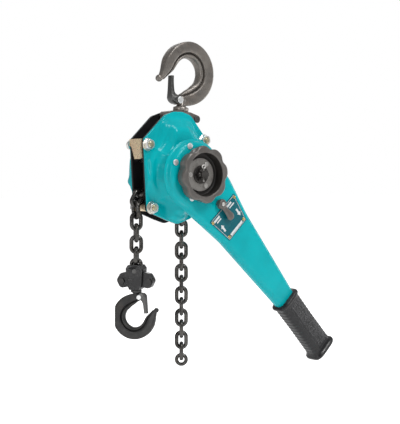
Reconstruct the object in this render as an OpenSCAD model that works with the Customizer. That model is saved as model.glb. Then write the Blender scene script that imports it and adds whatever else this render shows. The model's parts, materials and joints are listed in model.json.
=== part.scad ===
// Lever chain hoist, about 1.5 t class, hanging from its top hook.
// Working frame of the modules: the drive shaft is the Y axis, -Y is the handwheel side, +X is right, +Z is up.
// place() moves every node so that the origin is the seat of the top hook's bowl.

/* [Body] */
// Clear gap between the two side plates
plate_gap = 32; // [30:0.5:36]
// Thickness of each side plate
plate_t = 4; // [3:0.5:5]
// Sheet thickness of the pressed covers
cover_t = 2; // [1.5:0.5:2.5]
// Distance from the side plate's face to the first step of the brake cover
cover_step_1 = 13; // [10:1:14]
// Distance from the side plate's face to the second step of the brake cover
cover_step_2 = 24; // [22:1:26]
// Distance from the side plate's face to the front of the brake cover's drum
cover_drum = 37.5; // [37:0.5:38]

/* [Lever] */
// Angle of the lever below the horizontal
lever_angle = 47.3; // [-180:0.1:180]
// Radius of the lever's round head
head_r = 63; // [60:1:66]
// Distance from the shaft to the end of the pressed lever
lever_len = 318; // [300:1:330]
// Distance from the shaft to the end of the grip
grip_end = 452; // [430:1:460]
// Half width of the lever where it enters the grip
lever_tip_hw = 21.5; // [19:0.5:24]

/* [Handwheel] */
// Mean radius of the handwheel's lobed rim
wheel_r = 48; // [46:0.5:50]
// Radius of the handwheel's cup opening
wheel_bore_r = 37; // [35:0.5:40]
// Number of lobes on the handwheel
lobes = 8; // [6:1:12]

/* [Chain] */
// Pitch of the load chain (inside length of one link)
pitch = 20; // [20:0.1:21]
// Wire diameter of the load chain
wire = 7.1; // [7:0.1:7.2]
// Outside width of one link
link_w = 24; // [23.6:0.1:24.4]
// Links of the tail that hang free
tail_links = 16; // [8:1:20]

/* [Hooks] */
// Size of the top hook against the bottom hook
top_hook_scale = 1.48; // [1.3:0.01:1.5]
// Lean of the top hook and its yoke about the top pin
hook_lean = 6.5; // [0:0.5:8]
// Turn of the bottom hook and block about the chain
block_turn = -54; // [-90:1:90]

/* [Hidden] */
$fn = 48;
run = 0.05;                              // radial running clearance of shafts and pins
yi = plate_gap / 2;                      // inner face of a side plate
yo = yi + plate_t;                       // outer face of a side plate

// Top pin, in the working frame
pin = [20.5, 94];
pin_r = 6;
yoke_top = 19;                           // top face of the yoke above the pin
// Hook outline, in the bottom hook's size: bowl centre below the collar, bowl radius
bowl = [-2.5, -48];
bowl_r = 17.5;
rivet = [7, -13];
seat_depth = (bowl_r - bowl[1]) * top_hook_scale;
seat_side = -bowl[0] * top_hook_scale;
seat_local = [seat_side, yoke_top + seat_depth];
seat = pin + [seat_local[0] * cos(hook_lean) + seat_local[1] * sin(hook_lean),
              seat_local[1] * cos(hook_lean) - seat_local[0] * sin(hook_lean)];

// Stay bolts: upper left, lower left, upper right, lower right
stays = [[-65.5, 52], [-57.4, -57.4], [57.8, 61.2], [54, -56]];
stay_r = 5;
spacer_r = 6.5;

// Gear train: two reduction gears each side of the shaft
gear_m = 1.5;
pinion_z = 10;
wheel_z = 25;
gear_a = gear_m * (pinion_z + wheel_z) / 2;
gear_y = [25, 35];                       // load gear's faces
wheel_y = [37, 46];                      // reduction wheels' faces
cover_thin = 0.955;                      // a cover's inner outline against its outer one
brake_drum_r = 46;
gear_drum_r = 50.5;
gear_drum_y = 60;
gear_step = 17;
journal_r = 5;
shaft_r = 7;
hub_r = 14;                              // load sheave's journals
bearing_r = 18.5;

// Brake
ratchet_r = 32;
ratchet_root = 28;
ratchet_z = 20;
pawl_at = 40;                            // pawl pivots' distance from the shaft
pawl_angles = [62, 242];
pawl_pin_r = 3;

// Lever, measured from the shaft axis along -Y
lever_back = -60;
lever_split = -67;
lever_face = -78;
lever_shoulder = -71.5;                  // above it the pressed face is drawn in all round
lever_draw = 4.5;
lever_wall = 2;
boss_r = 25;                             // lever turns on the brake cover's boss
selector_at = 70;
selector_r = 6;
change_r = 35;
change_root = 31;
change_z = 20;
grip_start = 312;
grip_y = (lever_back + lever_face) / 2;
head_bolts = [for (a = [60, 156.5, 203.5, 300]) polar(abs(a - 180) < 60 ? 51.5 : 42, a)];
plate_rivets = [[84.5, 33], [84.5, -33], [128, 22.4], [128, -22.4]];

// Handwheel
wheel_front = -102;
wheel_floor = -83;
wheel_back = -79.5;

// Chain: a flat link turns about its own crown wires, which lie in the crowns of the upright links beside it
link_gap = 0.2;
link_inside = pitch + link_gap;
flat_span = link_inside + wire;          // between the crown wires of one link
upright_span = 2 * pitch - flat_span;    // between the crown wires of its two neighbours
node_r = 26.43;                          // pitch circle on which four of each span close a full turn
sheave_r = 27.6;                         // over the lobes of the sheave's flanges
sheave_flat = 22;                        // flats between the lobes
drum_r = 18.7;                           // under the flat links
flange_y = 12.7;                         // inner face of a flange
pocket_angle = 9.5;
pocket_half = asin(flat_span / 2 / node_r);
fall_dirs = [245, 222, 208, 240, 274, 270, 270, 270, 270, 270];
upper_links = 5;
fall_turns = [0, 0, 0, 0, -6, -15, -25, -34, -44, block_turn];
block_top = -156;
block_foot = -199;

function polar(r, a) = [r * cos(a), r * sin(a)];
function unit(v) = v / norm(v);
function xz(c) = [c[0], c[1]];

// Arc that rounds the corner b between a and c with radius r
function corner(a, b, c, r) = let (u = unit(a - b), w = unit(c - b), half = acos(u * w) / 2)
    r < 0.05 || half > 89 ? [b] :
    let (centre = b + unit(u + w) * r / sin(half), start = b + u * r / tan(half) - centre,
         end = b + w * r / tan(half) - centre, a0 = atan2(start[1], start[0]),
         sweep = (atan2(end[1], end[0]) - a0 + 540) % 360 - 180, n = max(2, ceil(abs(sweep) / 11)))
    [for (i = [0:n]) centre + polar(r, a0 + sweep * i / n)];

// Closed outline from corners [x, z, radius]
function outline(c) = let (n = len(c))
    [for (i = [0:n - 1]) each corner(xz(c[(i + n - 1) % n]), xz(c[i]), xz(c[(i + 1) % n]), c[i][2])];
function rounded_box(w, h, r) = outline([[w / 2, h / 2, r], [-w / 2, h / 2, r], [-w / 2, -h / 2, r],
    [w / 2, -h / 2, r]]);

plate_outline = outline([[-74, 61, 5], [-29, 104, 18], [-8, 111, 22], [12, 111, 22], [30, 105, 14],
    [68, 61, 6], [66, -58, 9], [28, -79, 20], [-1, -87.5, 14], [-24, -80, 20], [-67, -63, 5]]);
step_1_outline = outline([[-39, 94, 6], [-43, 62, 22], [-57, 40, 14], [-67, 24, 22], [-67, -16, 22],
    [-52, -40, 18], [-21, -50, 18], [-16, -78, 5], [10, -81, 5], [22, -58, 10], [46, -44, 14], [60, -22, 20],
    [62, 26, 20], [44, 60, 12], [22, 94, 6]]);
gear_step_outline = outline([[-50, 52, 14], [-66, 30, 14], [-68, -16, 20], [-58, -38, 12], [-24, -62, 20],
    [24, -62, 20], [54, -38, 12], [62, 0, 20], [60, 34, 14], [40, 62, 14], [0, 74, 30]]);
step_2_outline = outline([[-24, 84, 6], [-27, 56, 14], [-44, 36, 16], [-52, 14, 18], [-52, -12, 18],
    [-40, -36, 16], [-14, -50, 12], [-11, -66, 4], [8, -68, 4], [18, -50, 8], [42, -36, 14], [53, -12, 16],
    [53, 16, 16], [36, 46, 14], [12, 84, 6]]);

// ---- shared shapes ----

module place() {
    translate([-seat[0], 0, -seat[1]]) children();
}

// Extrudes an XZ outline from y0 to y1
module along_y(y0, y1) {
    translate([0, y1, 0]) rotate([90, 0, 0]) linear_extrude(y1 - y0) children();
}

// Extrudes a YZ outline from x0 to x1
module along_x(x0, x1) {
    translate([x0, 0, 0]) rotate([90, 0, 90]) linear_extrude(x1 - x0) children();
}

// Round bar along Y at [x, z]
module rod(r, y0, y1, at = [0, 0], sides = 48) {
    translate([at[0], y1, at[1]]) rotate([90, 0, 0]) cylinder(r = r, h = y1 - y0, $fn = sides);
}

module ring(r_out, r_in, y0, y1, at = [0, 0]) {
    difference() {
        rod(r_out, y0, y1, at);
        rod(r_in, y0 - 1, y1 + 1, at);
    }
}

module hex_nut(r, y0, y1, at) {
    rod(r, y0, y1, at, 6);
}

// Tube swept along points, with rings of n sides
module swept(pts, r, n = 8) {
    count = len(pts);
    tangents = [for (i = [0:count - 1]) unit(pts[min(i + 1, count - 1)] - pts[max(i - 1, 0)])];
    side = [for (t = tangents) unit(cross(t, abs(t[1]) > 0.9 ? [1, 0, 0] : [0, 1, 0]))];
    rings = [for (i = [0:count - 1]) for (k = [0:n - 1])
        pts[i] + r * (side[i] * cos(360 * k / n) + cross(tangents[i], side[i]) * sin(360 * k / n))];
    faces = [for (i = [0:count - 2]) for (k = [0:n - 1]) each [
        [i * n + k, (i + 1) * n + k, i * n + (k + 1) % n],
        [i * n + (k + 1) % n, (i + 1) * n + k, (i + 1) * n + (k + 1) % n]]];
    polyhedron(rings, concat(faces, [[for (k = [0:n - 1]) k]], [[for (k = [n - 1:-1:0]) (count - 1) * n + k]]));
}

// Coil about the Y axis at [x, z], from y0 to y1
module coil(at, r, wire_r, y0, y1, turns, start = 0) {
    steps = ceil(turns * 12);
    swept([for (i = [0:steps]) let (p = at + polar(r, start + 360 * turns * i / steps))
        [p[0], y0 + (y1 - y0) * i / steps, p[1]]], wire_r, 6);
}

// Involute spur gear outline; phase turns a tooth to that angle
function inv_deg(rb, r) = let (a = acos(rb / r)) tan(a) * 180 / PI - a;
function gear_outline(z, phase, tip = 0.85, backlash = 0.45) =
    let (rp = gear_m * z / 2, rb = rp * cos(20), ra = rp + gear_m * tip, rf = rp - 1.25 * gear_m,
         r0 = max(rb + 0.001, rf), half = 90 / z - backlash / rp * 90 / PI + inv_deg(rb, rp),
         radii = [for (i = [0:3]) r0 + (ra - r0) * i / 3])
    [for (t = [0:z - 1]) let (mid = phase + 360 * t / z) each concat(
        [polar(rf, mid - half - 0.5)],
        [for (r = radii) polar(r, mid - half + inv_deg(rb, r))],
        [for (i = [3:-1:0]) polar(radii[i], mid + half - inv_deg(rb, radii[i]))],
        [polar(rf, mid + half + 0.5)])];

// Saw-toothed ratchet outline
function ratchet_outline(z, r_tip, r_root, phase) =
    [for (t = [0:z - 1]) let (a = phase + 360 * t / z) each
        [polar(r_root, a - 180 / z), polar(r_tip, a), polar(r_tip, a + 90 / z)]];

// ---- hooks ----

// Radii from the bowl's centre and half thickness by angle, from the neck to the nose
function inner_r(a) = lookup(a, [[70, 31], [90, 21.5], [120, 17.2], [150, 17.2], [180, bowl_r], [325, bowl_r],
    [344, 17.9], [356, 18.9], [364, 20.5], [372, 24], [378, 29.5], [383, 36]]);
function outer_r(a) = lookup(a, [[70, 41], [90, 40.5], [120, 40], [180, 39], [270, 38.4], [300, 37],
    [330, 36.2], [350, 35.8], [362, 36.2], [370, 37.8], [378, 41], [383, 43.5]]);
function half_t(a) = lookup(a, [[70, 4.6], [98, 4.9], [120, 6.4], [160, 7.6], [280, 7.8], [340, 6.6],
    [366, 4.8], [383, 3.2]]);
function squarish(v) = sign(v) * pow(abs(v), 0.62);

// Forged body of the hook: squarish sections around the bowl, from the neck to the nose, with its back flat at back_x
module hook_sweep(back_x) {
    angles = [for (i = [0:45]) 70 + 313 / 45 * i];
    n = 16;
    pts = [for (a = angles) let (mid = (inner_r(a) + outer_r(a)) / 2, hw = (outer_r(a) - inner_r(a)) / 2)
        for (k = [0:n - 1]) let (f = 360 * k / n + 11.25, p = bowl + polar(mid + hw * squarish(cos(f)), a))
        [max(p[0], back_x), half_t(a) * squarish(sin(f)), p[1]]];
    rings = len(angles);
    faces = [for (i = [0:rings - 2]) for (k = [0:n - 1]) each [
        [i * n + k, (i + 1) * n + k, i * n + (k + 1) % n],
        [i * n + (k + 1) % n, (i + 1) * n + k, (i + 1) * n + (k + 1) % n]]];
    polyhedron(pts, concat(faces, [[for (k = [0:n - 1]) k]], [[for (k = [n - 1:-1:0]) (rings - 1) * n + k]]));
}

// Hook hanging down from its collar at z = 0, opening towards +X; head_gap is the plate that its head hangs in
module hook(head_gap, head_t, head_r2, back_x) {
    tip = bowl + polar(41.2, 378.5);
    difference() {
        union() {
            hook_sweep(back_x);
            translate([0, 0, -20]) cylinder(r = 5.3, h = 20);
            translate([0, 0, -5]) cylinder(r = 9.5, h = 4.6);
            cylinder(r = 6.2, h = head_gap + head_t);
            translate([0, 0, head_gap]) cylinder(r = head_r2, h = head_t);
            translate([tip[0], 0, tip[1]]) sphere(r = 4.2, $fn = 24);
            rod(5.4, -4.8, 4.8, rivet);
        }
        rod(2.6, -20, 20, rivet);
        for (y = [3.3, -23.3]) rod(4.6, y, y + 20, rivet);
    }
}

latch_outline = outline([[2.5, -8, 3], [10, -5.3, 3], [18.8, -8.5, 4], [21.4, -40.9, 0.8], [17.6, -41.4, 0.8],
    [14, -23, 6], [8.5, -18.5, 3], [2.5, -18, 3]]);
latch_inside = [[-4, -2], [9, -2], [16.4, -9.5], [19.5, -47.5], [8, -48], [-4, -40]];

latch_hw = 6.8;

// Pressed channel latch that closes the hook's mouth
module latch() {
    difference() {
        along_y(-latch_hw, latch_hw) polygon(latch_outline);
        along_y(-latch_hw + 1.5, latch_hw - 1.5) polygon(latch_inside);
        rod(2.6 + run, -10, 10, rivet);
    }
}

module latch_rivet() {
    rod(2.55, -latch_hw - 0.2, latch_hw + 0.2, rivet);
    for (y = [-latch_hw - 1.3, latch_hw + 0.15]) rod(4.2, y, y + 1.15, rivet);
}

// Frames that carry the two hooks
module top_frame() {
    translate([pin[0], 0, pin[1]]) rotate([0, hook_lean, 0]) children();
}

module top_hook_frame() {
    top_frame() translate([0, 0, yoke_top]) rotate([0, 180, 0]) scale(top_hook_scale) children();
}

fall_x = chain_nodes()[len(chain_nodes()) - 1][0];

module block_frame() {
    translate([fall_x, 0, 0]) rotate([0, 0, block_turn]) children();
}

module bottom_hook_frame() {
    block_frame() translate([0, 0, block_foot]) children();
}

// ---- top hook and yoke ----

module top_hook() color("dimgray") place() top_hook_frame() hook(3.9, 3.3, 7.2, -60);

module top_latch() color("gray") place() top_hook_frame() latch();

module top_latch_rivet() color("silver") place() top_hook_frame() latch_rivet();

module top_latch_spring() color("silver") place() top_hook_frame() latch_spring();

module latch_spring() {
    for (s = [-1, 1]) coil(rivet, 3.6, 0.4, s * 3.8, s * 4.5, 0.85);
}

yoke_outline = outline([[-26, 2, 5], [-37, 7, 5], [-34, 15, 6], [-12, yoke_top, 10], [12, yoke_top, 10],
    [34, 15, 6], [37, 7, 5], [26, 2, 5], [11, -11, 8], [-11, -11, 8]]);
yoke_bolt_x = 28;
yoke_hw = 13.5;

// One half of the yoke; side is -1 in front and 1 behind
module yoke_half(side) {
    top_frame() difference() {
        along_y(min(side * 0.02, side * yoke_hw), max(side * 0.02, side * yoke_hw)) polygon(yoke_outline);
        rod(pin_r + run, -30, 30);
        translate([0, 0, 8]) cylinder(r = 7.2 * top_hook_scale + 0.3, h = yoke_top - 8 - 5.2);
        translate([0, 0, 8]) cylinder(r = 6.2 * top_hook_scale + run, h = 20);
        for (s = [-1, 1]) rod(4, -30, 30, [s * yoke_bolt_x, 8]);
    }
}

module top_yoke_front() color("dimgray") place() yoke_half(-1);

module top_yoke_rear() color("dimgray") place() yoke_half(1);

module top_yoke_bolts() color("gray") place() top_frame() for (s = [-1, 1]) {
    rod(4, -yoke_hw, yoke_hw, [s * yoke_bolt_x, 8]);
    rod(6, -yoke_hw - 1.9, -yoke_hw, [s * yoke_bolt_x, 8]);
    hex_nut(6, yoke_hw, yoke_hw + 1.9, [s * yoke_bolt_x, 8]);
}

module top_pin() color("silver") place() rod(pin_r, -yo, yo, pin);

// ---- frame ----

module side_plate(y0) {
    difference() {
        along_y(y0, y0 + plate_t) polygon(plate_outline);
        rod(bearing_r, y0 - 1, y0 + plate_t + 1);
        for (p = stays) rod(stay_r, y0 - 1, y0 + plate_t + 1, p);
        rod(pin_r, y0 - 1, y0 + plate_t + 1, pin);
        for (p = roller_places) rod(roller_pin_r, y0 - 1, y0 + plate_t + 1, p);
        for (x = [-8, 4]) translate([x, y0 - 1, -44.5]) cube([4, plate_t + 2, 5]);
        children();
    }
}

module side_plate_front() color("#202020") place() side_plate(-yo)
    for (a = pawl_angles) rod(pawl_pin_r, -yo - 1, -yi + 1, polar(pawl_at, a));

module side_plate_rear() color("#202020") place() side_plate(yi)
    for (s = [-1, 1]) rod(journal_r + run, yi - 1, yo + 1, [s * gear_a, 0]);

module cover_holes(y0, y1) {
    for (p = stays) rod(stay_r + 0.3, y0, y1, p);
}

// Flange of a cover, from the side plate's face outwards, and its inside up to the flange's outer face
module cover_flange(side) {
    along_y(min(side * yo, side * (yo + cover_t)), max(side * yo, side * (yo + cover_t))) polygon(plate_outline);
}

// Prism from depth d0 to depth d1 beyond the side plate's face
module cover_prism(side, d0, d1, pts) {
    along_y(min(side * (yo + d0), side * (yo + d1)), max(side * (yo + d0), side * (yo + d1))) polygon(pts);
}

function thinned(pts) = [for (p = pts) p * cover_thin];

module brake_cover() color("darkturquoise") place() difference() {
    union() {
        cover_flange(-1);
        cover_prism(-1, 0, cover_step_1, step_1_outline);
        cover_prism(-1, cover_step_1 - cover_t, cover_step_2, step_2_outline);
        rod(brake_drum_r, -yo - cover_drum, -yo - cover_step_2 + cover_t);
        rod(boss_r - run, -64, -yo - cover_drum + cover_t);
    }
    cover_prism(-1, -1, cover_step_1 - cover_t, thinned(step_1_outline));
    cover_prism(-1, cover_step_1 - cover_t - 1, cover_step_2 - cover_t, thinned(step_2_outline));
    rod(brake_drum_r - cover_t, -yo - cover_drum + cover_t, -yo - cover_step_2 + cover_t + 1);
    rod(18, -70, -40);
    cover_holes(-yo - cover_t - 1, -yo + 1);
}

module gear_cover() color("darkturquoise") place() difference() {
    union() {
        difference() {
            union() {
                cover_flange(1);
                cover_prism(1, 0, gear_step, gear_step_outline);
                rod(gear_drum_r, yo + gear_step - cover_t, gear_drum_y);
            }
            cover_prism(1, -1, gear_step - cover_t, thinned(gear_step_outline));
            rod(gear_drum_r - cover_t, yo + gear_step - cover_t - 1, gear_drum_y - cover_t);
        }
        for (x = [-gear_a, 0, gear_a]) rod(8.5, 48, gear_drum_y - 1, [x, 0]);
    }
    for (x = [-gear_a, 0, gear_a]) rod(journal_r + run, 40, 55, [x, 0]);
    cover_holes(yo - 1, yo + cover_t + 1);
}

stay_end = 33.5;

module stay_bolts() color("silver") place() for (p = stays) rod(stay_r, -stay_end, stay_end, p);

module nut_on_stay(p, side) {
    face = yo + cover_t;
    difference() {
        union() {
            rod(10.6, min(side * face, side * (face + 1.6)), max(side * face, side * (face + 1.6)), p);
            hex_nut(9.8, min(side * (face + 1.6), side * (face + 9.5)),
                max(side * (face + 1.6), side * (face + 9.5)), p);
        }
        rod(stay_r, -50, 50, p);
    }
}

module stay_nuts_front() color("silver") place() for (p = stays) nut_on_stay(p, -1);

module stay_nuts_rear() color("silver") place() for (p = stays) nut_on_stay(p, 1);

module stay_spacers() color("wheat") place() for (p = stays) ring(spacer_r, stay_r, -yi, yi, p);

// Pressed guide on the upper left stay: wide at the top, narrowing down towards the front plate
module chain_guide() color("wheat") place() difference() {
    union() {
        along_x(-77.5, -75.5) polygon([[yi, 62], [-yi, 62], [-yi, 27], [1, 27]]);
        along_y(-yi, -yi + 2) polygon([[-77.5, 62], [-77.5, 27], [-60, 34], [-57, 62]]);
        along_y(yi - 2, yi) polygon([[-77.5, 62], [-77.5, 50], [-60, 44], [-57, 62]]);
    }
    rod(spacer_r, -20, 20, stays[0]);
}

roller_places = [[-52, 30], [48, -6]];
roller_pin_r = 3.5;

module guide_rollers() color("gray") place() for (p = roller_places) {
    rod(8, -yi + 0.4, yi - 0.4, p);
    rod(roller_pin_r, -yo, yo, p);
}

// Stripper that keeps the chain from riding round with the sheave
module chain_stripper() color("gray") place() {
    translate([-6, -3.4, -42]) cube([12, 6.8, 26]);
    translate([-8, -yi, -44.5]) cube([16, 2 * yi, 5]);
    for (x = [-8, 4]) for (y = [-yo, yi]) translate([x, y, -44.5]) cube([4, plate_t, 5]);
}

module sheave_bearings() color("silver") place() for (y = [-yo, yi]) ring(bearing_r, hub_r + run, y, y + plate_t);

// ---- load sheave and gear train ----

// Grooved wheel that turns clear of the links: a central groove for upright links, a drum under the flat ones and
// four-lobed flanges beside them
module load_sheave() color("gray") place() difference() {
    union() {
        rod(drum_r, -yi + 0.6, yi - 0.6);
        for (y = [-yi + 0.6, flange_y]) intersection() {
            rod(sheave_r, y, y + yi - 0.6 - flange_y);
            rotate([0, -pocket_angle, 0]) translate([-sheave_flat, y, -sheave_flat])
                cube([2 * sheave_flat, yi - 0.6 - flange_y, 2 * sheave_flat]);
        }
        rod(hub_r, -yo, yo + 4.5);
        rod(11, yo, gear_y[1] + 1);
    }
    difference() {
        rod(40, -4.5, 4.5);
        rod(13, -5, 5);
    }
    rod(shaft_r + run, -60, 60);
}

module load_gear() color("silver") place() difference() {
    along_y(gear_y[0], gear_y[1]) polygon(gear_outline(wheel_z, 7.2));
    rod(11, 0, 60);
}

// Reduction gear on its own shaft: pinion inside, wheel outside
module reduction_gear(x, pinion_phase, wheel_phase) {
    translate([x, 0, 0]) {
        along_y(gear_y[0] - 0.7, wheel_y[0]) polygon(gear_outline(pinion_z, pinion_phase));
        along_y(wheel_y[0], wheel_y[1]) polygon(gear_outline(wheel_z, wheel_phase));
        rod(journal_r, yi + 0.5, 54);
    }
}

module reduction_gear_right() color("silver") place() reduction_gear(gear_a, 180, 180 + 7.2);

module reduction_gear_left() color("silver") place() reduction_gear(-gear_a, 18, 7.2);

module drive_shaft() color("silver") place() difference() {
    union() {
        rod(shaft_r, -98, wheel_y[0] - 0.5);
        along_y(wheel_y[0] - 0.5, wheel_y[1] + 1) polygon(gear_outline(pinion_z, 0));
        rod(journal_r, wheel_y[1], 54);
    }
    translate([0, -94, 0]) cylinder(r = 1.6, h = 40, center = true, $fn = 24);
}

// ---- load brake ----

module brake_hub() color("gray") place() difference() {
    union() {
        rod(26, -27, -24);
        rod(13, -24, -21);
        rod(10, -37.6, -27);
    }
    rod(shaft_r, -50, 0);
}

module friction_discs() color("saddlebrown") place() {
    ring(26, 10, -29.4, -27);
    ring(26, 10, -37.6, -35.2);
}

module brake_ratchet() color("dimgray") place() difference() {
    along_y(-35.2, -29.4) polygon(ratchet_outline(ratchet_z, ratchet_r, ratchet_root, 4));
    rod(10, -50, 0);
}

pawl_outline = outline([[36.5, -4.5, 3.4], [44.8, -4.5, 4.4], [44.8, 4.5, 4.4], [36.8, 14.4, 1.2],
    [33.4, 13, 0.8], [35.6, 4, 2]]);

module brake_pawl(a) {
    rotate([0, -a, 0]) difference() {
        along_y(-34.6, -30) polygon(pawl_outline);
        rod(pawl_pin_r + run, -50, 0, [pawl_at, 0]);
    }
}

module brake_pawl_upper() color("silver") place() brake_pawl(pawl_angles[0]);

module brake_pawl_lower() color("silver") place() brake_pawl(pawl_angles[1]);

module brake_pawl_pins() color("silver") place() for (a = pawl_angles) {
    rod(pawl_pin_r, -36.5, -yi, polar(pawl_at, a));
    rod(4.6, -28.4, -yo, polar(pawl_at, a));
}

module brake_pawl_springs() color("silver") place() for (a = pawl_angles) coil(polar(pawl_at, a), 5.6, 0.4, -28, -21, 4, a);

// ---- lever ----

module lever_frame() {
    rotate([0, lever_angle, 0]) children();
}

// Outline of the lever, inset by w: round head, then a neck that tapers in two stretches up to x = end
function lever_outline(w, end = lever_len) = outline(concat(
    [for (a = [62:8:298]) concat(polar(head_r - w, a), 0)],
    [[129, -38 + w, 60], [end, -lever_tip_hw + w, 0], [end, lever_tip_hw - w, 0], [129, 38 - w, 60]]));

// Pressed half of the lever from y0 to y1, hollow between inner_y0 and inner_y1; children are its holes
module lever_half(y0, y1, inner_y0, inner_y1) {
    difference() {
        union() {
            along_y(max(y0, lever_shoulder), y1) polygon(lever_outline(0));
            if (y0 < lever_shoulder) along_y(y0, y1 - 1) polygon(lever_outline(lever_draw));
        }
        along_y(max(inner_y0, lever_shoulder + lever_wall), inner_y1) polygon(lever_outline(lever_wall, lever_len + 1));
        along_y(inner_y0, inner_y1 - 1) polygon(lever_outline(lever_wall + lever_draw, lever_len + 1));
        for (p = head_bolts) rod(3, -90, -50, p);
        children();
    }
}

module lever_housing_front() color("darkturquoise") place() lever_frame() {
    lever_half(lever_face, lever_split, lever_face + lever_wall, lever_split + 1) {
        rod(17, -90, -50);
        rod(selector_r + run, -90, -50, [selector_at, 0]);
        for (p = plate_rivets) rod(1.5, -90, -50, p);
    }
}

module lever_housing_rear() color("darkturquoise") place() lever_frame() {
    lever_half(lever_split, lever_back, lever_split - 1, lever_back - lever_wall) {
        rod(boss_r, -90, -50);
        rod(4 + run, -90, -50, [selector_at, 0]);
    }
    translate([lever_len - 22, -73, -12]) cube([22, 12, 24]);
    translate([lever_len - 3, -73, -12]) cube([grip_end - lever_len - 12, 8, 24]);
    for (p = head_bolts) ring(4.5, 3, lever_face + lever_wall, lever_back - 1, p);
}

module lever_bolts() color("silver") place() lever_frame() for (p = head_bolts) {
    rod(5.5, lever_face - 1.1, lever_face, p);
    rod(3, lever_face, lever_back, p);
}

selector_outline = outline([[-34, 9, 1.2], [-31.5, 13.6, 1.2], [-4, 8, 5], [7, 6, 5], [7, -6, 5], [-4, -8, 5],
    [-31.5, -13.6, 1.2], [-34, -9, 1.2], [-26, 0, 5]]);

// Double pawl that drives the change gear either way
module selector_pawl() color("silver") place() lever_frame() translate([selector_at, 0, 0]) difference() {
    along_y(-74.5, -65.5) polygon(selector_outline);
    rod(4, -90, -50);
}

// Cast thumb lever on the selector's shaft
module selector_lever() color("gray") place() lever_frame() translate([selector_at, 0, 0]) {
    rod(4, -74.5, lever_back + 1);
    rod(selector_r, -90, -74.5);
    rod(9, -90, -80);
    along_y(-89, -82) polygon(outline([[-4, 7.5, 5], [14, 6, 8], [33, 8, 6], [36, 0, 5], [33, -8, 6], [14, -6, 8],
        [-4, -7.5, 5]]));
    rod(3, -92, -90);
}

module selector_spring() color("silver") place() lever_frame() {
    translate([selector_at + 11.5, -70, 0]) rotate([0, 90, 0]) cylinder(r = 2.6, h = 14, $fn = 32);
    translate([selector_at + 9.9, -70, 0]) sphere(r = 2.4, $fn = 32);
    translate([selector_at + 25.5, -74, -5]) cube([3, 8, 10]);
}

nameplate_outline = outline([[79, 37, 2], [134, 26.5, 2], [134, -26.5, 2], [79, -37, 2]]);

module nameplate() color("teal") place() lever_frame() difference() {
    along_y(lever_face - 0.8, lever_face) polygon(nameplate_outline);
    for (p = plate_rivets) rod(1.5, -90, -50, p);
}

module nameplate_rivets() color("gold") place() lever_frame() for (p = plate_rivets) {
    rod(2.8, lever_face - 2, lever_face - 0.8, p);
    rod(1.5, lever_face - 0.8, lever_face + lever_wall, p);
}

module grip_section(w, t, r) {
    polygon(rounded_box(t, w, r));
}

// Rubber grip: swelling sections, a collar at each end, and a socket for the lever's tang
module grip() color("#303030") place() lever_frame() translate([0, grip_y, 0]) difference() {
    union() {
        along_x(grip_start, grip_start + 6) grip_section(55, 37, 15);
        along_x(grip_start + 6, grip_end - 9) grip_section(49, 33, 14);
        for (x = [grip_start + 16:16:grip_end - 30]) along_x(x, x + 9) grip_section(51, 34.4, 14);
        along_x(grip_end - 9, grip_end) grip_section(58, 42, 17);
    }
    along_x(grip_start - 1, lever_len + 0.02) polygon(rounded_box(18.2, 2 * lever_tip_hw + 1.6, 1));
    along_x(lever_len - 1, grip_end - 14.9) polygon(rounded_box(8, 24, 0));
}

// ---- handwheel ----

module change_gear() color("dimgray") place() difference() {
    union() {
        lever_frame() along_y(-75, -65.2) polygon([for (t = [0:change_z - 1]) let (a = 360 * t / change_z) each
            [polar(change_root, a - 6.2), polar(change_r, a - 3), polar(change_r, a + 3),
             polar(change_root, a + 6.2)]]);
        rod(14, -66, -40);
        rod(26, -40, -37.9);
        rod(12, -82, -74);
    }
    rod(shaft_r + run, -90, 0);
}

module handwheel() color("dimgray") place() difference() {
    union() {
        along_y(wheel_front, wheel_floor - 1) polygon(wheel_outline(0));
        along_y(wheel_floor - 1, wheel_back) polygon(wheel_outline(4));
    }
    rod(wheel_bore_r, wheel_front - 1, wheel_floor);
    rod(12, -90, -70);
    for (a = wheel_rivet_angles) rod(2, -90, -70, polar(22, a));
}

// Lobed rim, pulled in by inset
function wheel_outline(inset) =
    [for (i = [0:143]) let (a = 2.5 * i) polar(wheel_r - inset + 2.3 * cos(lobes * (a - 8)) - 0.5 * cos(2 * lobes * (a - 8)), a)];
wheel_rivet_angles = [55, 180, 300];

module handwheel_plate() color("gray") place() difference() {
    rod(28.5, -85.7, wheel_floor);
    rod(shaft_r + run, -90, -70);
    for (a = wheel_rivet_angles) rod(2, -90, -70, polar(22, a));
}

module handwheel_rivets() color("silver") place() for (a = wheel_rivet_angles) {
    rod(4.3, -87.3, -85.7, polar(22, a));
    rod(2, -85.7, wheel_back, polar(22, a));
}

module castle_nut() color("#404040") place() difference() {
    union() {
        ring(15.5, shaft_r, -88, -86);
        hex_nut(12, -91.5, -88, [0, 0]);
        rod(10, -96.5, -88);
    }
    rod(shaft_r, -100, -80);
    for (k = [0:2]) rotate([0, 60 * k, 0]) translate([-1.9, -97.5, -14]) cube([3.8, 6, 28]);
}

// Split pin through the nut's slots: one wire that ends in an eye
module cotter_pin() color("silver") place()
    swept(concat([for (z = [-12:4:8]) [0, -94, z]],
        [for (a = [-80:20:240]) [3.2 * cos(a), -94, 13.6 + 3.2 * sin(a)]]), 1.3, 8);

// ---- chain ----

// One link, long axis along Z, lying in the XZ plane
module link() {
    half = link_inside / 2;
    bend = (link_w - wire) / 2;
    leg = half + wire / 2 - bend;
    for (s = [-1, 1]) {
        translate([0, 0, s * leg]) rotate([90, s > 0 ? 0 : 180, 0])
            rotate_extrude(angle = 180, $fn = 48) translate([bend, 0]) circle(d = wire, $fn = 24);
        translate([s * bend, 0, -leg]) cylinder(d = wire, h = 2 * leg, $fn = 24);
    }
}

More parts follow.
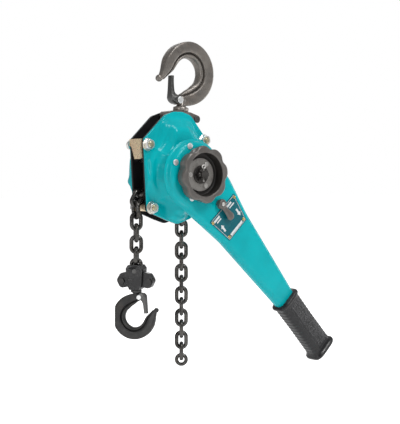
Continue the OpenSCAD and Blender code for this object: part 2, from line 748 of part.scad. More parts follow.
// Link midway between two nodes, turned about its own length
module link_between(a, b, turn) {
    dir = atan2(b[1] - a[1], b[0] - a[0]);
    tilt = (90 - dir + 720 + 90) % 180 - 90;
    translate([(a[0] + b[0]) / 2, 0, (a[1] + b[1]) / 2]) rotate([0, tilt, 0]) rotate([0, 0, turn]) link();
}

function span(i) = i % 2 == 0 ? upright_span : flat_span;
function sheave_nodes() = [for (a = [-pocket_half, pocket_half, 90 - pocket_half, 90 + pocket_half, 180 - pocket_half])
    polar(node_r, pocket_angle + a)];
function walk(p, dirs, first, i = 0) = i == len(dirs) ? [p] :
    concat([p], walk(p + polar(span(i + first), dirs[i]), dirs, first, i + 1));
function chain_nodes() = walk(sheave_nodes()[4], fall_dirs, 1);
function tail_nodes() = walk(sheave_nodes()[0], [for (i = [1:tail_links]) 270], 0);
function quarter(i) = i % 2 == 0 ? 0 : 90;

module load_chain_upper() color("#404040") place() {
    s = sheave_nodes();
    n = chain_nodes();
    for (i = [0:3]) link_between(s[i], s[i + 1], quarter(i + 1));
    for (i = [0:upper_links - 1]) link_between(n[i], n[i + 1], quarter(i + 1) + fall_turns[i]);
}

module load_chain_fall() color("#404040") place() {
    n = chain_nodes();
    for (i = [upper_links:len(fall_dirs) - 2]) link_between(n[i], n[i + 1], quarter(i + 1) + fall_turns[i]);
}

// Last link of the fall, held in the block by the chain pin
module end_link() color("#404040") place() {
    n = chain_nodes();
    last = len(fall_dirs) - 1;
    link_between(n[last], n[last + 1], quarter(last + 1) + fall_turns[last]);
}

tail_turn = -37;

module tail_chain() color("#404040") place() {
    n = tail_nodes();
    for (i = [0:tail_links - 1]) link_between(n[i], n[i + 1], quarter(i) + tail_turn * min(max(i - 1, 0), 4) / 4);
}

end_ring_r = 8.6;
end_ring_wire = 6.5;
end_ring_z = tail_nodes()[tail_links][1] + wire / 2 + end_ring_wire / 2 + 0.15 - end_ring_r;

module chain_end_stop() color("#505050") place()
    translate([tail_nodes()[0][0], 0, end_ring_z]) rotate([90, 0, tail_turn])
        rotate_extrude($fn = 48) translate([end_ring_r, 0]) circle(d = end_ring_wire, $fn = 24);

// ---- bottom block and hook ----

block_hw = 15.2;
block_hd = 12.5;
ear_x = 24.7;
ear_z = -184.5;
chain_pin_z = chain_nodes()[len(fall_dirs)][1] - (link_inside - upright_span) / 2 + 4.15;
block_outline = outline([[-11, block_top, 4], [11, block_top, 4], [block_hw, -162, 4], [block_hw, -168, 3],
    [27, -171, 8], [34, -183, 7], [27, -197, 7], [12, -194, 4], [9, block_foot, 2], [-9, block_foot, 2],
    [-12, -194, 4], [-27, -197, 7], [-34, -183, 7], [-27, -171, 8], [-block_hw, -168, 3], [-block_hw, -162, 4]]);
core_outline = outline([[-11, block_top, 4], [11, block_top, 4], [block_hw, -162, 4], [13, -190, 4],
    [9, block_foot, 2], [-9, block_foot, 2], [-13, -190, 4], [-block_hw, -162, 4]]);

module block_half(side) {
    block_frame() difference() {
        union() {
            along_y(min(side * 0.02, side * 7), max(side * 0.02, side * 7)) polygon(block_outline);
            along_y(min(side * 0.02, side * block_hd), max(side * 0.02, side * block_hd)) polygon(core_outline);
        }
        translate([-12.6, -4.1, -179]) cube([25.2, 8.2, 40]);
        translate([-6, -10, block_top - 4.5]) cube([12, 20, 10]);
        rod(4, -20, 20, [0, chain_pin_z]);
        translate([0, 0, -190.2]) cylinder(r = 9.3, h = 7.4);
        translate([0, 0, -205]) cylinder(r = 6.2 + run, h = 20);
        for (s = [-1, 1]) rod(3.5, -30, 30, [s * ear_x, ear_z]);
    }
}

module block_front() color("#303030") place() block_half(-1);

module block_rear() color("#303030") place() block_half(1);

module block_bolts() color("#505050") place() block_frame() for (s = [-1, 1]) {
    rod(3.5, -7, 11, [s * ear_x, ear_z]);
    rod(5.4, -10.5, -7, [s * ear_x, ear_z]);
    hex_nut(6, 7, 11, [s * ear_x, ear_z]);
}

module chain_pin() color("silver") place() block_frame() rod(4, -block_hd + 0.5, block_hd - 0.5, [0, chain_pin_z]);

module bottom_hook() color("#303030") place() bottom_hook_frame() hook(9.4, 5.8, 9, -37);

module bottom_latch() color("#505050") place() bottom_hook_frame() latch();

module bottom_latch_rivet() color("silver") place() bottom_hook_frame() latch_rivet();

module bottom_latch_spring() color("silver") place() bottom_hook_frame() latch_spring();

top_hook();
top_latch();
top_latch_rivet();
top_latch_spring();
top_yoke_front();
top_yoke_rear();
top_yoke_bolts();
top_pin();
side_plate_front();
side_plate_rear();
brake_cover();
gear_cover();
stay_bolts();
stay_nuts_front();
stay_nuts_rear();
stay_spacers();
chain_guide();
guide_rollers();
chain_stripper();
sheave_bearings();
load_sheave();
load_gear();
reduction_gear_left();
reduction_gear_right();
drive_shaft();
brake_hub();
friction_discs();
brake_ratchet();
brake_pawl_upper();
brake_pawl_lower();
brake_pawl_pins();
brake_pawl_springs();
change_gear();
lever_housing_front();
lever_housing_rear();
lever_bolts();
selector_pawl();
selector_lever();
selector_spring();
nameplate();
nameplate_rivets();
grip();
handwheel();
handwheel_plate();
handwheel_rivets();
castle_nut();
cotter_pin();
load_chain_upper();
load_chain_fall();
end_link();
tail_chain();
chain_end_stop();
block_front();
block_rear();
block_bolts();
chain_pin();
bottom_hook();
bottom_latch();
bottom_latch_rivet();
bottom_latch_spring();
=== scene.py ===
import json
import math

import bmesh
import bpy
import numpy as np
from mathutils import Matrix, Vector
from mathutils.bvhtree import BVHTree


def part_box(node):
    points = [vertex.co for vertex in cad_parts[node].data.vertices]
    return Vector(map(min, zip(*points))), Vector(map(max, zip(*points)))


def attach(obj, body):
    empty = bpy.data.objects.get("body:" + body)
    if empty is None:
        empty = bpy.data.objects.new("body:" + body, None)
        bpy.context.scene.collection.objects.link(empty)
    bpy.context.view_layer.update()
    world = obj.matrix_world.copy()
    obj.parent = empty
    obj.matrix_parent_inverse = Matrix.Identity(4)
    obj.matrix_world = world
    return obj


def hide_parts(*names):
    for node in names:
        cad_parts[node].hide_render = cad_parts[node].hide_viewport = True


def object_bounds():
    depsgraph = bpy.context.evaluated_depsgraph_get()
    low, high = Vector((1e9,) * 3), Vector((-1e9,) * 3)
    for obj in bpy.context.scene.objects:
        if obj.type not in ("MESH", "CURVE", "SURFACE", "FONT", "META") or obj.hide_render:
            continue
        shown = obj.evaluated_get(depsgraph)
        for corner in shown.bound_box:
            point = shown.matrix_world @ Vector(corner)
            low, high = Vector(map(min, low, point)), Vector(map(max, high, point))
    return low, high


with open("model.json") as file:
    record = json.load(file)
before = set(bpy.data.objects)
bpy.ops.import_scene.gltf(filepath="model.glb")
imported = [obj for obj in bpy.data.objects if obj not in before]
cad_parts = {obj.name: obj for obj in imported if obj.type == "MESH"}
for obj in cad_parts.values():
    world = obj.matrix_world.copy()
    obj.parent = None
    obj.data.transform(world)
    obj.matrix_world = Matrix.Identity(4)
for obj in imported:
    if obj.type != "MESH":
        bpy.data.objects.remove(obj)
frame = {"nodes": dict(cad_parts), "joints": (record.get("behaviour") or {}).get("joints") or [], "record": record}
cad_low, cad_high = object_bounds()

MM = 0.001
JOINTS = {j["name"]: j for j in frame["joints"]}
MOUNTS = {m["name"]: m for m in frame["record"]["mounts"]}
SHAFT = Vector(JOINTS["sheave_turn"]["pos_m"])
SELECTOR = Vector(JOINTS["selector_turn"]["pos_m"])
LEVER_ANGLE = math.atan2(SHAFT.z - SELECTOR.z, SELECTOR.x - SHAFT.x)
ALONG = Vector((math.cos(LEVER_ANGLE), 0, -math.sin(LEVER_ANGLE)))
ACROSS = Vector((math.sin(LEVER_ANGLE), 0, math.cos(LEVER_ANGLE)))


def on_shaft(x, y, z):
    """A point given in mm from the drive shaft's axis, in the frame."""
    return Vector((SHAFT.x + x * MM, y * MM, SHAFT.z + z * MM))


def on_lever(u, y, v):
    """A point given in mm along and across the lever from the shaft, in the frame."""
    place = SHAFT + ALONG * (u * MM) + ACROSS * (v * MM)
    return Vector((place.x, y * MM, place.z))


# ---- meshes ----


def make_piece(name, verts, faces, body, material, replaced=(), sharp=40):
    mesh = bpy.data.meshes.new(name)
    mesh.from_pydata([tuple(v) for v in verts], [], [tuple(f) for f in faces])
    mesh.validate()
    face_outward(mesh)
    mesh.shade_smooth()
    mesh.set_sharp_from_angle(angle=math.radians(sharp))
    piece = bpy.data.objects.new(name, mesh)
    bpy.context.scene.collection.objects.link(piece)
    mesh.materials.append(material)
    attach(piece, body)
    if replaced:
        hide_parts(*replaced)
    return piece


def face_outward(mesh):
    bm = bmesh.new()
    bm.from_mesh(mesh)
    bmesh.ops.remove_doubles(bm, verts=bm.verts, dist=1e-7)
    bmesh.ops.recalc_face_normals(bm, faces=bm.faces)
    bm.to_mesh(mesh)
    bm.free()


def ring_faces(rings, count, wrapped=False):
    """Quads between rings of count points each; wrapped joins the last ring to the first."""
    faces = []
    for i in range(rings if wrapped else rings - 1):
        a, b = i * count, ((i + 1) % rings) * count
        for k in range(count):
            n = (k + 1) % count
            faces.append((a + k, a + n, b + n, b + k))
    return faces


def closed_faces(rings, count):
    """Quads between the rings and a flat cap on the first and the last."""
    return ring_faces(rings, count) + [tuple(range(count)), tuple((rings - 1) * count + k for k in range(count))]


def turned(profile, count, at):
    """Closed turned solid from (radius, height) pairs; at(across, beside, height) places a point."""
    verts = []
    for r, height in profile:
        for k in range(count):
            a = 2 * math.pi * k / count
            verts.append(at(r * math.cos(a), r * math.sin(a), height))
    return verts, closed_faces(len(profile), count)


def joined(shapes):
    """One list of points and faces from several closed shapes."""
    verts, faces = [], []
    for shape_verts, shape_faces in shapes:
        shift = len(verts)
        verts += list(shape_verts)
        faces += [tuple(i + shift for i in f) for f in shape_faces]
    return verts, faces


def arc(rx, ry, a0, a1, steps):
    """Points of an elliptic arc round the origin from a0 to a1 degrees."""
    turn = [math.radians(a0 + (a1 - a0) * i / steps) for i in range(steps + 1)]
    return [(rx * math.cos(a), ry * math.sin(a)) for a in turn]


def tree_of(node):
    mesh = frame["nodes"][node].data
    return BVHTree.FromPolygons([v.co for v in mesh.vertices], [p.vertices for p in mesh.polygons])


# ---- materials ----

COAT_ROUGHNESS = 0.12


class Nodes:
    """Small helper around a material's node tree."""

    def __init__(self, name):
        self.material = bpy.data.materials.new(name)
        self.material.use_nodes = True
        self.tree = self.material.node_tree
        self.shader = self.tree.nodes["Principled BSDF"]
        self.place = self.add("ShaderNodeTexCoord").outputs["Object"]

    def add(self, kind, **values):
        node = self.tree.nodes.new(kind)
        for key, value in values.items():
            setattr(node, key, value)
        return node

    def link(self, a, b):
        self.tree.links.new(a, b)

    def noise(self, scale, detail=4, rough=0.55, place=None, distortion=0.0):
        node = self.add("ShaderNodeTexNoise")
        node.inputs["Scale"].default_value = scale
        node.inputs["Detail"].default_value = detail
        node.inputs["Roughness"].default_value = rough
        node.inputs["Distortion"].default_value = distortion
        self.link(place or self.place, node.inputs["Vector"])
        return node.outputs["Fac"]

    def cells(self, scale):
        node = self.add("ShaderNodeTexVoronoi", feature="F1")
        node.inputs["Scale"].default_value = scale
        self.link(self.place, node.inputs["Vector"])
        return node.outputs["Distance"]

    def stretched(self, scale):
        node = self.add("ShaderNodeMapping")
        node.inputs["Scale"].default_value = scale
        self.link(self.place, node.inputs["Vector"])
        return node.outputs["Vector"]

    def ramp(self, value, *stops):
        """Colour or grey ramp; stops are (position, colour or number)."""
        node = self.add("ShaderNodeValToRGB")
        band = node.color_ramp
        while len(band.elements) < len(stops):
            band.elements.new(0.5)
        for element, (position, colour) in zip(band.elements, stops):
            element.position = position
            rgb = colour if isinstance(colour, tuple) else (colour,) * 3
            element.color = (*rgb, 1)
        self.link(value, node.inputs["Fac"])
        return node.outputs["Color"]

    def mix(self, share, a, b):
        """Colour b over colour a by a linked share; a is linked, b may be linked or a plain colour."""
        node = self.add("ShaderNodeMix", data_type="RGBA", blend_type="MIX")
        for value, socket in ((share, 0), (a, 6), (b, 7)):
            if isinstance(value, bpy.types.NodeSocket):
                self.link(value, node.inputs[socket])
            else:
                node.inputs[socket].default_value = (*value, 1)
        return node.outputs[2]

    def bump(self, height, strength, distance, normal=None):
        node = self.add("ShaderNodeBump")
        node.inputs["Strength"].default_value = strength
        node.inputs["Distance"].default_value = distance
        self.link(height, node.inputs["Height"])
        if normal is not None:
            self.link(normal, node.inputs["Normal"])
        return node.outputs["Normal"]

    def edges(self, low, high):
        """1 on convex edges, 0 elsewhere."""
        geometry = self.add("ShaderNodeNewGeometry")
        return self.ramp(geometry.outputs["Pointiness"], (low, 0.0), (high, 1.0))

    def crease_shade(self, low=0.4, high=0.48):
        """1 in creases and hollows, where the colour is darkened as painted shade, 0 elsewhere."""
        geometry = self.add("ShaderNodeNewGeometry")
        return self.ramp(geometry.outputs["Pointiness"], (low, 1.0), (high, 0.0))

    def finish(self, colour, rough, normal=None, metal=0.0, coat=0.0, specular=0.5):
        self.link(colour, self.shader.inputs["Base Color"])
        self.link(rough, self.shader.inputs["Roughness"])
        if normal is not None:
            self.link(normal, self.shader.inputs["Normal"])
        self.shader.inputs["Metallic"].default_value = metal
        self.shader.inputs["Coat Weight"].default_value = coat
        self.shader.inputs["Coat Roughness"].default_value = COAT_ROUGHNESS
        self.shader.inputs["Specular IOR Level"].default_value = specular
        return self.material


def painted(name, base, deep, chip_and_highlight, rough, coat, specular=0.3):
    """Powder coat: faint orange peel, broad tone drift, convex edges lightened towards the chip colour (edge wear,
    and on the black block also a painted highlight), and painted shade darkening the hollows.
    """
    n = Nodes(name)
    tone = n.ramp(n.noise(18, 3), (0.3, deep), (0.62, base))
    edge_wear_and_highlight = n.mix(n.ramp(n.noise(420, 6, 0.7), (0.6, 0.0), (0.68, 0.25)), tone, chip_and_highlight)
    # Convex edges take the chip colour: partly edge wear, partly a painted highlight where the chip colour is light,
    # as on the black block.
    edge = n.mix(n.edges(0.56, 0.66), tone, edge_wear_and_highlight)
    peel = n.bump(n.noise(900, 2), 0.18, 0.0004)
    dust = n.bump(n.noise(160, 5), 0.05, 0.0008, peel)
    # Creases and hollows are darkened towards the deep tone as painted shade.
    shaded = n.mix(n.crease_shade(0.42, 0.485), edge, tuple(c * 0.35 for c in deep))
    gloss = n.ramp(n.noise(60, 4), (0.35, rough[0]), (0.7, rough[1]))
    return n.finish(shaded, gloss, dust, 0.0, coat, specular)


def forged(name, base, deep, warm, rough, metal=0.55, scale=260, strength=0.35):
    """Forged or cast steel: scale skin, warm oxide patches, rubbed edges, and painted shade darkening the hollows.
    """
    n = Nodes(name)
    patches = n.ramp(n.noise(34, 5, 0.6), (0.35, deep), (0.6, base))
    oxide = n.mix(n.ramp(n.noise(90, 6, 0.65, distortion=0.6), (0.52, 0.0), (0.74, 0.7)), patches, warm)
    light = tuple(min(1.0, c * 1.9 + 0.05) for c in base)
    # Creases and hollows are darkened towards the deep tone as painted shade.
    crease_shaded = n.mix(n.crease_shade(), oxide, tuple(c * 0.22 for c in deep))
    rubbed = n.mix(n.edges(0.54, 0.64), crease_shaded, light)
    skin = n.bump(n.noise(scale, 6, 0.6), strength, 0.0006)
    pits = n.bump(n.cells(scale * 0.7), strength * 0.35, 0.0005, skin)
    gloss = n.ramp(n.noise(120, 5), (0.3, rough[0]), (0.72, rough[1]))
    return n.finish(rubbed, gloss, pits, metal)


def plated(name, base, tint, rough, metal=1.0, grain=(900, 60, 900), strength=0.08):
    """Plated or machined steel: fine directional grain, passivation tint, light scuffs."""
    n = Nodes(name)
    tinted = n.ramp(n.noise(70, 4, 0.6, distortion=0.8), (0.38, base), (0.66, tint))
    dull = tuple(c * 0.62 for c in base)
    scuffed = n.mix(n.ramp(n.noise(600, 6, 0.7), (0.6, 0.0), (0.75, 0.6)), tinted, dull)
    lines = n.noise(1.0, 3, 0.5, n.stretched(grain))
    gloss = n.ramp(n.noise(240, 5), (0.3, rough[0]), (0.7, rough[1]))
    return n.finish(scuffed, gloss, n.bump(lines, strength, 0.0003), metal)


def rubber(name, base, light, pebble=0.0):
    """Moulded rubber: soft bloom, fine skin, and pebbles where the palm rests."""
    n = Nodes(name)
    tone = n.ramp(n.noise(50, 5), (0.35, base), (0.7, light))
    dusty = n.mix(n.ramp(n.noise(500, 5), (0.58, 0.0), (0.8, 0.35)), tone, tuple(c * 2.2 for c in light))
    fine = n.bump(n.noise(1500, 3), 0.2, 0.0003)
    normal = n.bump(n.cells(520), pebble, 0.0009, fine) if pebble else fine
    gloss = n.ramp(n.noise(150, 4), (0.3, 0.22), (0.7, 0.38))
    return n.finish(dusty, gloss, normal, specular=0.45)


TEAL = painted("teal_paint", (0.0, 0.46, 0.5), (0.0, 0.39, 0.43), (0.01, 0.47, 0.49), (0.14, 0.26), 0.12, 0.16)
BLACK = painted("black_paint", (0.012, 0.012, 0.013), (0.006, 0.006, 0.007), (0.12, 0.12, 0.12), (0.3, 0.5), 0.1)
TOP_FORGING = forged("top_forging", (0.23, 0.21, 0.19), (0.16, 0.146, 0.134), (0.25, 0.2, 0.165), (0.24, 0.42))
DARK_FORGING = forged("dark_forging", (0.052, 0.051, 0.05), (0.032, 0.032, 0.032), (0.07, 0.06, 0.052), (0.3, 0.5))
CHAIN = forged("chain_steel", (0.113, 0.109, 0.103), (0.05, 0.048, 0.046), (0.13, 0.113, 0.095), (0.16, 0.34),
               0.85, 420, 0.2)
WHEEL = forged("wheel_casting", (0.155, 0.145, 0.135), (0.115, 0.107, 0.1), (0.17, 0.14, 0.12), (0.3, 0.5),
               0.5, 340, 0.25)
# Near-black casting colour painted on the handwheel's bore wall as shade.
BORE_SHADE = forged("wheel_bore_shade", (0.02, 0.018, 0.016), (0.012, 0.011, 0.01), (0.032, 0.026, 0.022), (0.4, 0.6),
              0.2, 340, 0.25)
LATCH = plated("latch_steel", (0.135, 0.134, 0.132), (0.1, 0.098, 0.095), (0.26, 0.42), 0.8)
# The light chip colour on the block's edges is partly wear and partly a painted highlight.
BLOCK = painted("block_black", (0.02, 0.02, 0.021), (0.009, 0.009, 0.01), (0.34, 0.33, 0.32), (0.22, 0.38), 0.0, 0.4)
ZINC = plated("zinc", (0.82, 0.84, 0.86), (0.78, 0.75, 0.66), (0.24, 0.42), 0.9)
RIVET = plated("rivet_steel", (0.66, 0.65, 0.63), (0.5, 0.48, 0.45), (0.25, 0.42), 0.8)
BOLT = plated("bolt_zinc", (0.86, 0.88, 0.9), (0.78, 0.78, 0.76), (0.3, 0.48), 0.75)
HUB = plated("hub_steel", (0.11, 0.105, 0.1), (0.07, 0.066, 0.062), (0.22, 0.4), 0.9)
STUD = plated("stud_zinc", (0.72, 0.68, 0.5), (0.6, 0.55, 0.34), (0.2, 0.4))
GOLD = plated("gold_zinc", (0.93, 0.76, 0.5), (0.86, 0.62, 0.42), (0.2, 0.4), 0.6, (500, 90, 40), 0.16)
STEEL = plated("machined_steel", (0.36, 0.35, 0.34), (0.28, 0.26, 0.24), (0.2, 0.42))
DISC = plated("wheel_disc", (0.36, 0.345, 0.325), (0.24, 0.225, 0.21), (0.26, 0.46), 0.7, (400, 60, 400))
BRASS = plated("brass", (0.83, 0.62, 0.24), (0.72, 0.48, 0.18), (0.16, 0.34))
LINING = forged("friction_lining", (0.13, 0.075, 0.045), (0.085, 0.05, 0.03), (0.2, 0.13, 0.08), (0.6, 0.8),
                0.0, 700, 0.4)
LABEL = painted("label_enamel", (0.0, 0.135, 0.17), (0.0, 0.11, 0.14), (0.1, 0.2, 0.22), (0.22, 0.36), 0.25)
PRINT = painted("label_print", (0.78, 0.80, 0.80), (0.70, 0.73, 0.74), (0.4, 0.5, 0.5), (0.3, 0.45), 0.1)
GRIP = rubber("grip_rubber", (0.009, 0.009, 0.010), (0.014, 0.014, 0.016))
PEBBLED = rubber("grip_pebbled", (0.013, 0.013, 0.014), (0.024, 0.024, 0.027), 0.8)

# Materials of the CAD pieces that stay; the replaced ones are left out
LOOKS = {
    TOP_FORGING: ["top_yoke_front", "top_yoke_rear"],
    DARK_FORGING: ["block_bolts", "chain_pin"],
    BLOCK: ["block_front", "block_rear"],
    CHAIN: ["load_chain_upper", "load_chain_fall", "end_link", "tail_chain", "chain_end_stop"],
    LATCH: ["top_yoke_bolts"],
    ZINC: ["top_latch_spring", "bottom_latch_spring", "brake_pawl_springs", "selector_spring"],
    GOLD: ["stay_spacers", "chain_guide"],
    BOLT: ["top_latch_rivet", "bottom_latch_rivet"],
    RIVET: ["handwheel_rivets", "cotter_pin"],
    HUB: ["drive_shaft", "castle_nut"],
    STEEL: ["top_pin", "guide_rollers", "sheave_bearings", "load_sheave", "load_gear", "reduction_gear_left",
            "reduction_gear_right", "brake_hub", "brake_ratchet", "brake_pawl_upper", "brake_pawl_lower",
            "brake_pawl_pins", "change_gear", "selector_pawl", "chain_stripper"],
    BLACK: ["side_plate_front", "side_plate_rear"],
    DISC: ["handwheel_plate"],
    LINING: ["friction_discs"],
    LABEL: ["nameplate"],
    BRASS: ["nameplate_rivets"],
}

# Width in mm of the broken edges on CAD pieces that stay
EDGES = {
    "top_yoke_front": 1.6, "top_yoke_rear": 1.6, "top_yoke_bolts": 0.8, "side_plate_front": 0.5,
    "side_plate_rear": 0.5, "stay_spacers": 0.4, "chain_guide": 0.4, "castle_nut": 0.6, "handwheel_plate": 0.6,
    "handwheel_rivets": 0.9, "nameplate": 0.25, "nameplate_rivets": 0.6, "block_front": 1.3, "block_rear": 1.3,
    "block_bolts": 0.9, "top_latch_rivet": 0.9, "bottom_latch_rivet": 0.6, "chain_stripper": 0.5,
    "guide_rollers": 0.6, "drive_shaft": 0.4,
}


def dress_cad():
    """Gives every CAD node that stays its material, and a broken edge where one shows."""
    for material, names in LOOKS.items():
        for name in names:
            node = frame["nodes"][name]
            node.data.materials.clear()
            node.data.materials.append(material)
            for polygon in node.data.polygons:
                polygon.material_index = 0
    for name, width in EDGES.items():
        node = frame["nodes"][name]
        weld = node.modifiers.new("weld", "WELD")
        weld.merge_threshold = 1e-6
        flat = node.modifiers.new("flat", "DECIMATE")
        flat.decimate_type = "DISSOLVE"
        flat.angle_limit = math.radians(1)
        edge = node.modifiers.new("edge", "BEVEL")
        edge.width = width * MM
        edge.segments = 3
        edge.limit_method = "ANGLE"
        edge.angle_limit = math.radians(38)
        edge.use_clamp_overlap = True
        edge.harden_normals = True


# ---- pressed covers, taken from the CAD shell and softened as a press leaves them ----

COVER_ANGLES, COVER_RADII = 480, 110     # the polar grid on which a cover's height is read
COVER_RIM = 2.2                          # radius of the rolled edge
COVER_FLANGE, COVER_SHEET = 2.0, 1.9     # depth of the flange and thickness of the sheet


def softened(heights, passes):
    for _ in range(passes):
        side = np.roll(heights, 1, 0) + np.roll(heights, -1, 0)
        padded = np.pad(heights, ((0, 0), (1, 1)), mode="edge")
        heights = 0.5 * heights + 0.125 * (side + padded[:, :-2] + padded[:, 2:])
    return heights


def pressed_cover(name, node, side, bore, keep_r, passes):
    """Closed shell over a CAD cover: its height is read off along Y, then softened outside keep_r."""
    tree = tree_of(node)
    flange = (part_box("stay_nuts_front")[1].y if side < 0 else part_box("stay_nuts_rear")[0].y) / MM
    back = flange - side * COVER_FLANGE
    turns = [2 * math.pi * i / COVER_ANGLES for i in range(COVER_ANGLES)]
    edge = np.zeros(COVER_ANGLES)
    heights = np.full((COVER_ANGLES, COVER_RADII), flange)
    reach = np.zeros((COVER_ANGLES, COVER_RADII))
    for i, a in enumerate(turns):
        out = Vector((math.cos(a), 0, math.sin(a)))
        axis = on_shaft(0, flange - side, 0)
        hit = tree.ray_cast(axis + out * 0.2, -out)[0]
        edge[i] = (hit - axis).length / MM
        for k in range(COVER_RADII):
            reach[i, k] = bore + (edge[i] - COVER_RIM - bore) * k / (COVER_RADII - 1)
            place = on_shaft(0, 0, 0) + out * (reach[i, k] * MM)
            top = tree.ray_cast(Vector((place.x, side * 0.2, place.z)), Vector((0, -side, 0)))[0]
            if top is not None:
                y = top.y / MM
                heights[i, k] = y if side * y >= side * flange else flange
    heights = np.where(reach < keep_r, heights, softened(heights, passes))
    rings = [(reach[:, k], heights[:, k]) for k in range(COVER_RADII)]
    for turn in (20, 40, 60, 80, 90):
        s, c = math.sin(math.radians(turn)), math.cos(math.radians(turn))
        rings.append((edge - COVER_RIM + COVER_RIM * s, back + (heights[:, -1] - back) * c))
    for k in reversed(range(COVER_RADII)):
        under = heights[:, k] - side * COVER_SHEET
        rings.append((reach[:, k], side * np.maximum(side * under, side * back)))
    verts = [on_shaft(r[i] * math.cos(a), y[i], r[i] * math.sin(a)) for r, y in rings for i, a in enumerate(turns)]
    faces = ring_faces(len(rings), COVER_ANGLES, wrapped=True)
    return make_piece(name, verts, faces, "hoist_body", TEAL, [node], 60)


# ---- lever ----

LEVER_SPLIT, LEVER_FACE, LEVER_REAR = -67.0, -78.0, -60.0    # y of the joint between the halves and of both faces
LEVER_WALL = 2.0
HEAD_START = 34.0                        # the outline is read round the head up to here, then along the handle
HEAD_END, HEAD_BLEND = 26.0, 34.0        # the head's deeper draw fades out over this stretch of the lever
LEVER_END = max((v.co - SHAFT).dot(ALONG) for v in frame["nodes"]["lever_housing_front"].data.vertices) / MM


def lever_outline():
    """Outline of the pressed lever in (u, v) mm, read off the CAD shell."""
    tree = tree_of("lever_housing_front")
    level = LEVER_SPLIT - 1.5
    points = []
    for a in range(64, 297, 4):
        c, s = math.cos(math.radians(a)), math.sin(math.radians(a))
        out = ALONG * c + ACROSS * s
        hit = tree.ray_cast(on_lever(0, level, 0) + out * 0.2, -out)[0]
        r = (hit - on_lever(0, level, 0)).length / MM
        points.append((r * c, r * s))
    steps = 60
    for side in (-1, 1):
        row = []
        for i in range(steps + 1):
            u = HEAD_START + (LEVER_END - HEAD_START) * i / steps
            hit = tree.ray_cast(on_lever(min(u, LEVER_END - 0.5), level, side * 120), -ACROSS * side)[0]
            row.append((u, (hit - on_lever(u, level, 0)).dot(ACROSS) / MM))
        points += row if side < 0 else row[::-1]
    return np.array(points)


def lever_half(name, node, outline, profile, bore):
    """Closed pressed half: rings of the outline, inset by d at height y, then a bore round the shaft."""
    run = np.roll(outline, -1, 0) - np.roll(outline, 1, 0)
    inward = np.stack([-run[:, 1], run[:, 0]], 1) / np.linalg.norm(run, axis=1)[:, None]
    if ((outline * inward)[:40].sum()) > 0:
        inward = -inward
    at_end = outline[:, 0] > LEVER_END - 0.01
    inward[at_end] = np.stack([np.zeros(2), -np.sign(outline[at_end, 1])], 1)
    angle = np.arctan2(outline[:, 1], outline[:, 0])
    head = np.clip((HEAD_END + HEAD_BLEND - outline[:, 0]) / HEAD_BLEND, 0, 1)
    head = (head * head * (3 - 2 * head))[:, None]
    verts = []
    for d, y, drawn in profile:
        if d is None:
            ring = np.stack([bore * np.cos(angle), bore * np.sin(angle)], 1)
        else:
            ring = outline + inward * (d + (drawn - d) * head)
            ring[:, 0] = np.minimum(ring[:, 0], LEVER_END)
        verts += [on_lever(u, y, v) for u, v in ring]
    faces = ring_faces(len(profile), len(outline), wrapped=True)
    return make_piece(name, verts, faces, "lever", TEAL, [node], 50)


def build_lever():
    """Two pressed halves; each ring is (inset, y, inset round the head), which is drawn in more than the handle."""
    outline = lever_outline()
    split, face, rear, wall = LEVER_SPLIT, LEVER_FACE, LEVER_REAR, LEVER_WALL
    fold = 8.5
    front = [(0.0, split, 3.6), (0.0, face + fold, 5.6)]
    for x, y in arc(fold, fold, 0, 90, 9)[1:]:
        front.append((fold - x, face + fold - y, 5.6 + (fold - x) * 0.95))
    front += [(fold + 3, face, 17.5), (None, face, None), (None, face + wall, None),
              (fold + 2, face + wall, 16), (wall + 2, face + 5, 10), (wall, face + fold, 8), (wall, split, 6)]
    lever_half("lever_shell_front", "lever_housing_front", outline, front, 17)
    bend, lip = 4.5, 0.15
    back = [(lip, split, 3.7), (lip, rear - bend, 1.2)]
    for x, y in arc(bend, bend, 0, 90, 6)[1:]:
        back.append((bend + lip - x, rear - bend + y, 1.2 + bend - x))
    back += [(bend + 3, rear, bend + 4), (None, rear, None), (None, rear - wall, None),
             (bend + 2, rear - wall, bend + 3), (wall, rear - bend, wall + 1.2), (wall, split, 6)]
    lever_half("lever_shell_rear", "lever_housing_rear", outline, back, 25)


# ---- handwheel ----

LOBES, LOBE_DEPTH, LOBE_TURN = 8, 2.3, math.radians(8)
WELL_R, WELL_FLOOR = 38.6, -82           # the part of the bore painted near-black as shade: its radius in mm and the y of its floor


